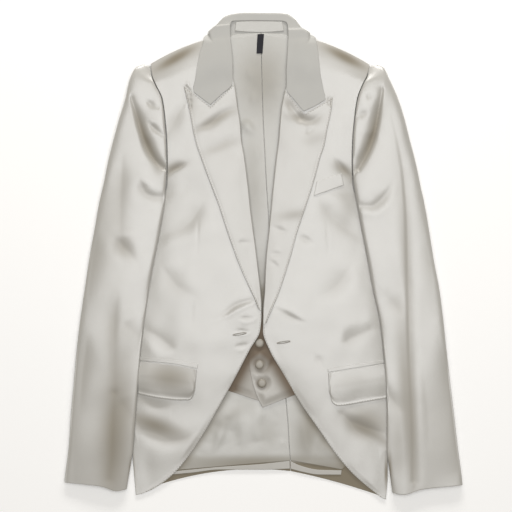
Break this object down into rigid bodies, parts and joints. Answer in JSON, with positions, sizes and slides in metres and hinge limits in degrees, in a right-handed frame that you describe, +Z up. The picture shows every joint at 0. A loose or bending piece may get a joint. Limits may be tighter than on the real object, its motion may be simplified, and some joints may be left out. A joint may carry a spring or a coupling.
{
  "type": "tuxedo blazer laid flat",
  "caption": "Satin tuxedo blazer with peak lapels, cutaway front, flap pockets and a sewn-in waistcoat front, laid flat on its back.",
  "frame": {"origin": "centre of the whole jacket's footprint, on the plane it lies on", "axes": "+Z up out of the front of the jacket, +Y towards the collar, -X towards the wearer's right sleeve"},
  "size_m": [0.6352, 0.778, 0.018],
  "materials": {
    "shell_satin": "ivory satin, soft sheen",
    "collar_satin": "ivory satin, slightly greyer",
    "lining_satin": "ivory lining, soft sheen",
    "button_satin": "satin-covered button",
    "tab_ribbon": "plain black woven ribbon"
  },
  "bodies": {
    "root": {"back_right": "shell_satin", "back_left": "shell_satin", "front_right": "shell_satin", "front_left": "shell_satin", "lapel_right": "shell_satin", "lapel_left": "shell_satin", "collar": "collar_satin", "collar_stand": "collar_satin", "top_sleeve_right": "shell_satin", "top_sleeve_left": "shell_satin", "under_sleeve_right": "shell_satin", "under_sleeve_left": "shell_satin", "pocket_jet_right": "shell_satin", "pocket_jet_left": "shell_satin", "pocket_flap_right": "shell_satin", "pocket_flap_left": "shell_satin", "breast_welt": "shell_satin", "hem_band_right": "shell_satin", "hem_band_left": "shell_satin", "lining_right": "lining_satin", "lining_left": "lining_satin", "waistcoat_right": "shell_satin", "waistcoat_left": "shell_satin", "waistcoat_button_1": "button_satin", "waistcoat_button_2": "button_satin", "waistcoat_button_3": "button_satin", "neck_tab": "tab_ribbon"}
  },
  "joints": []
}
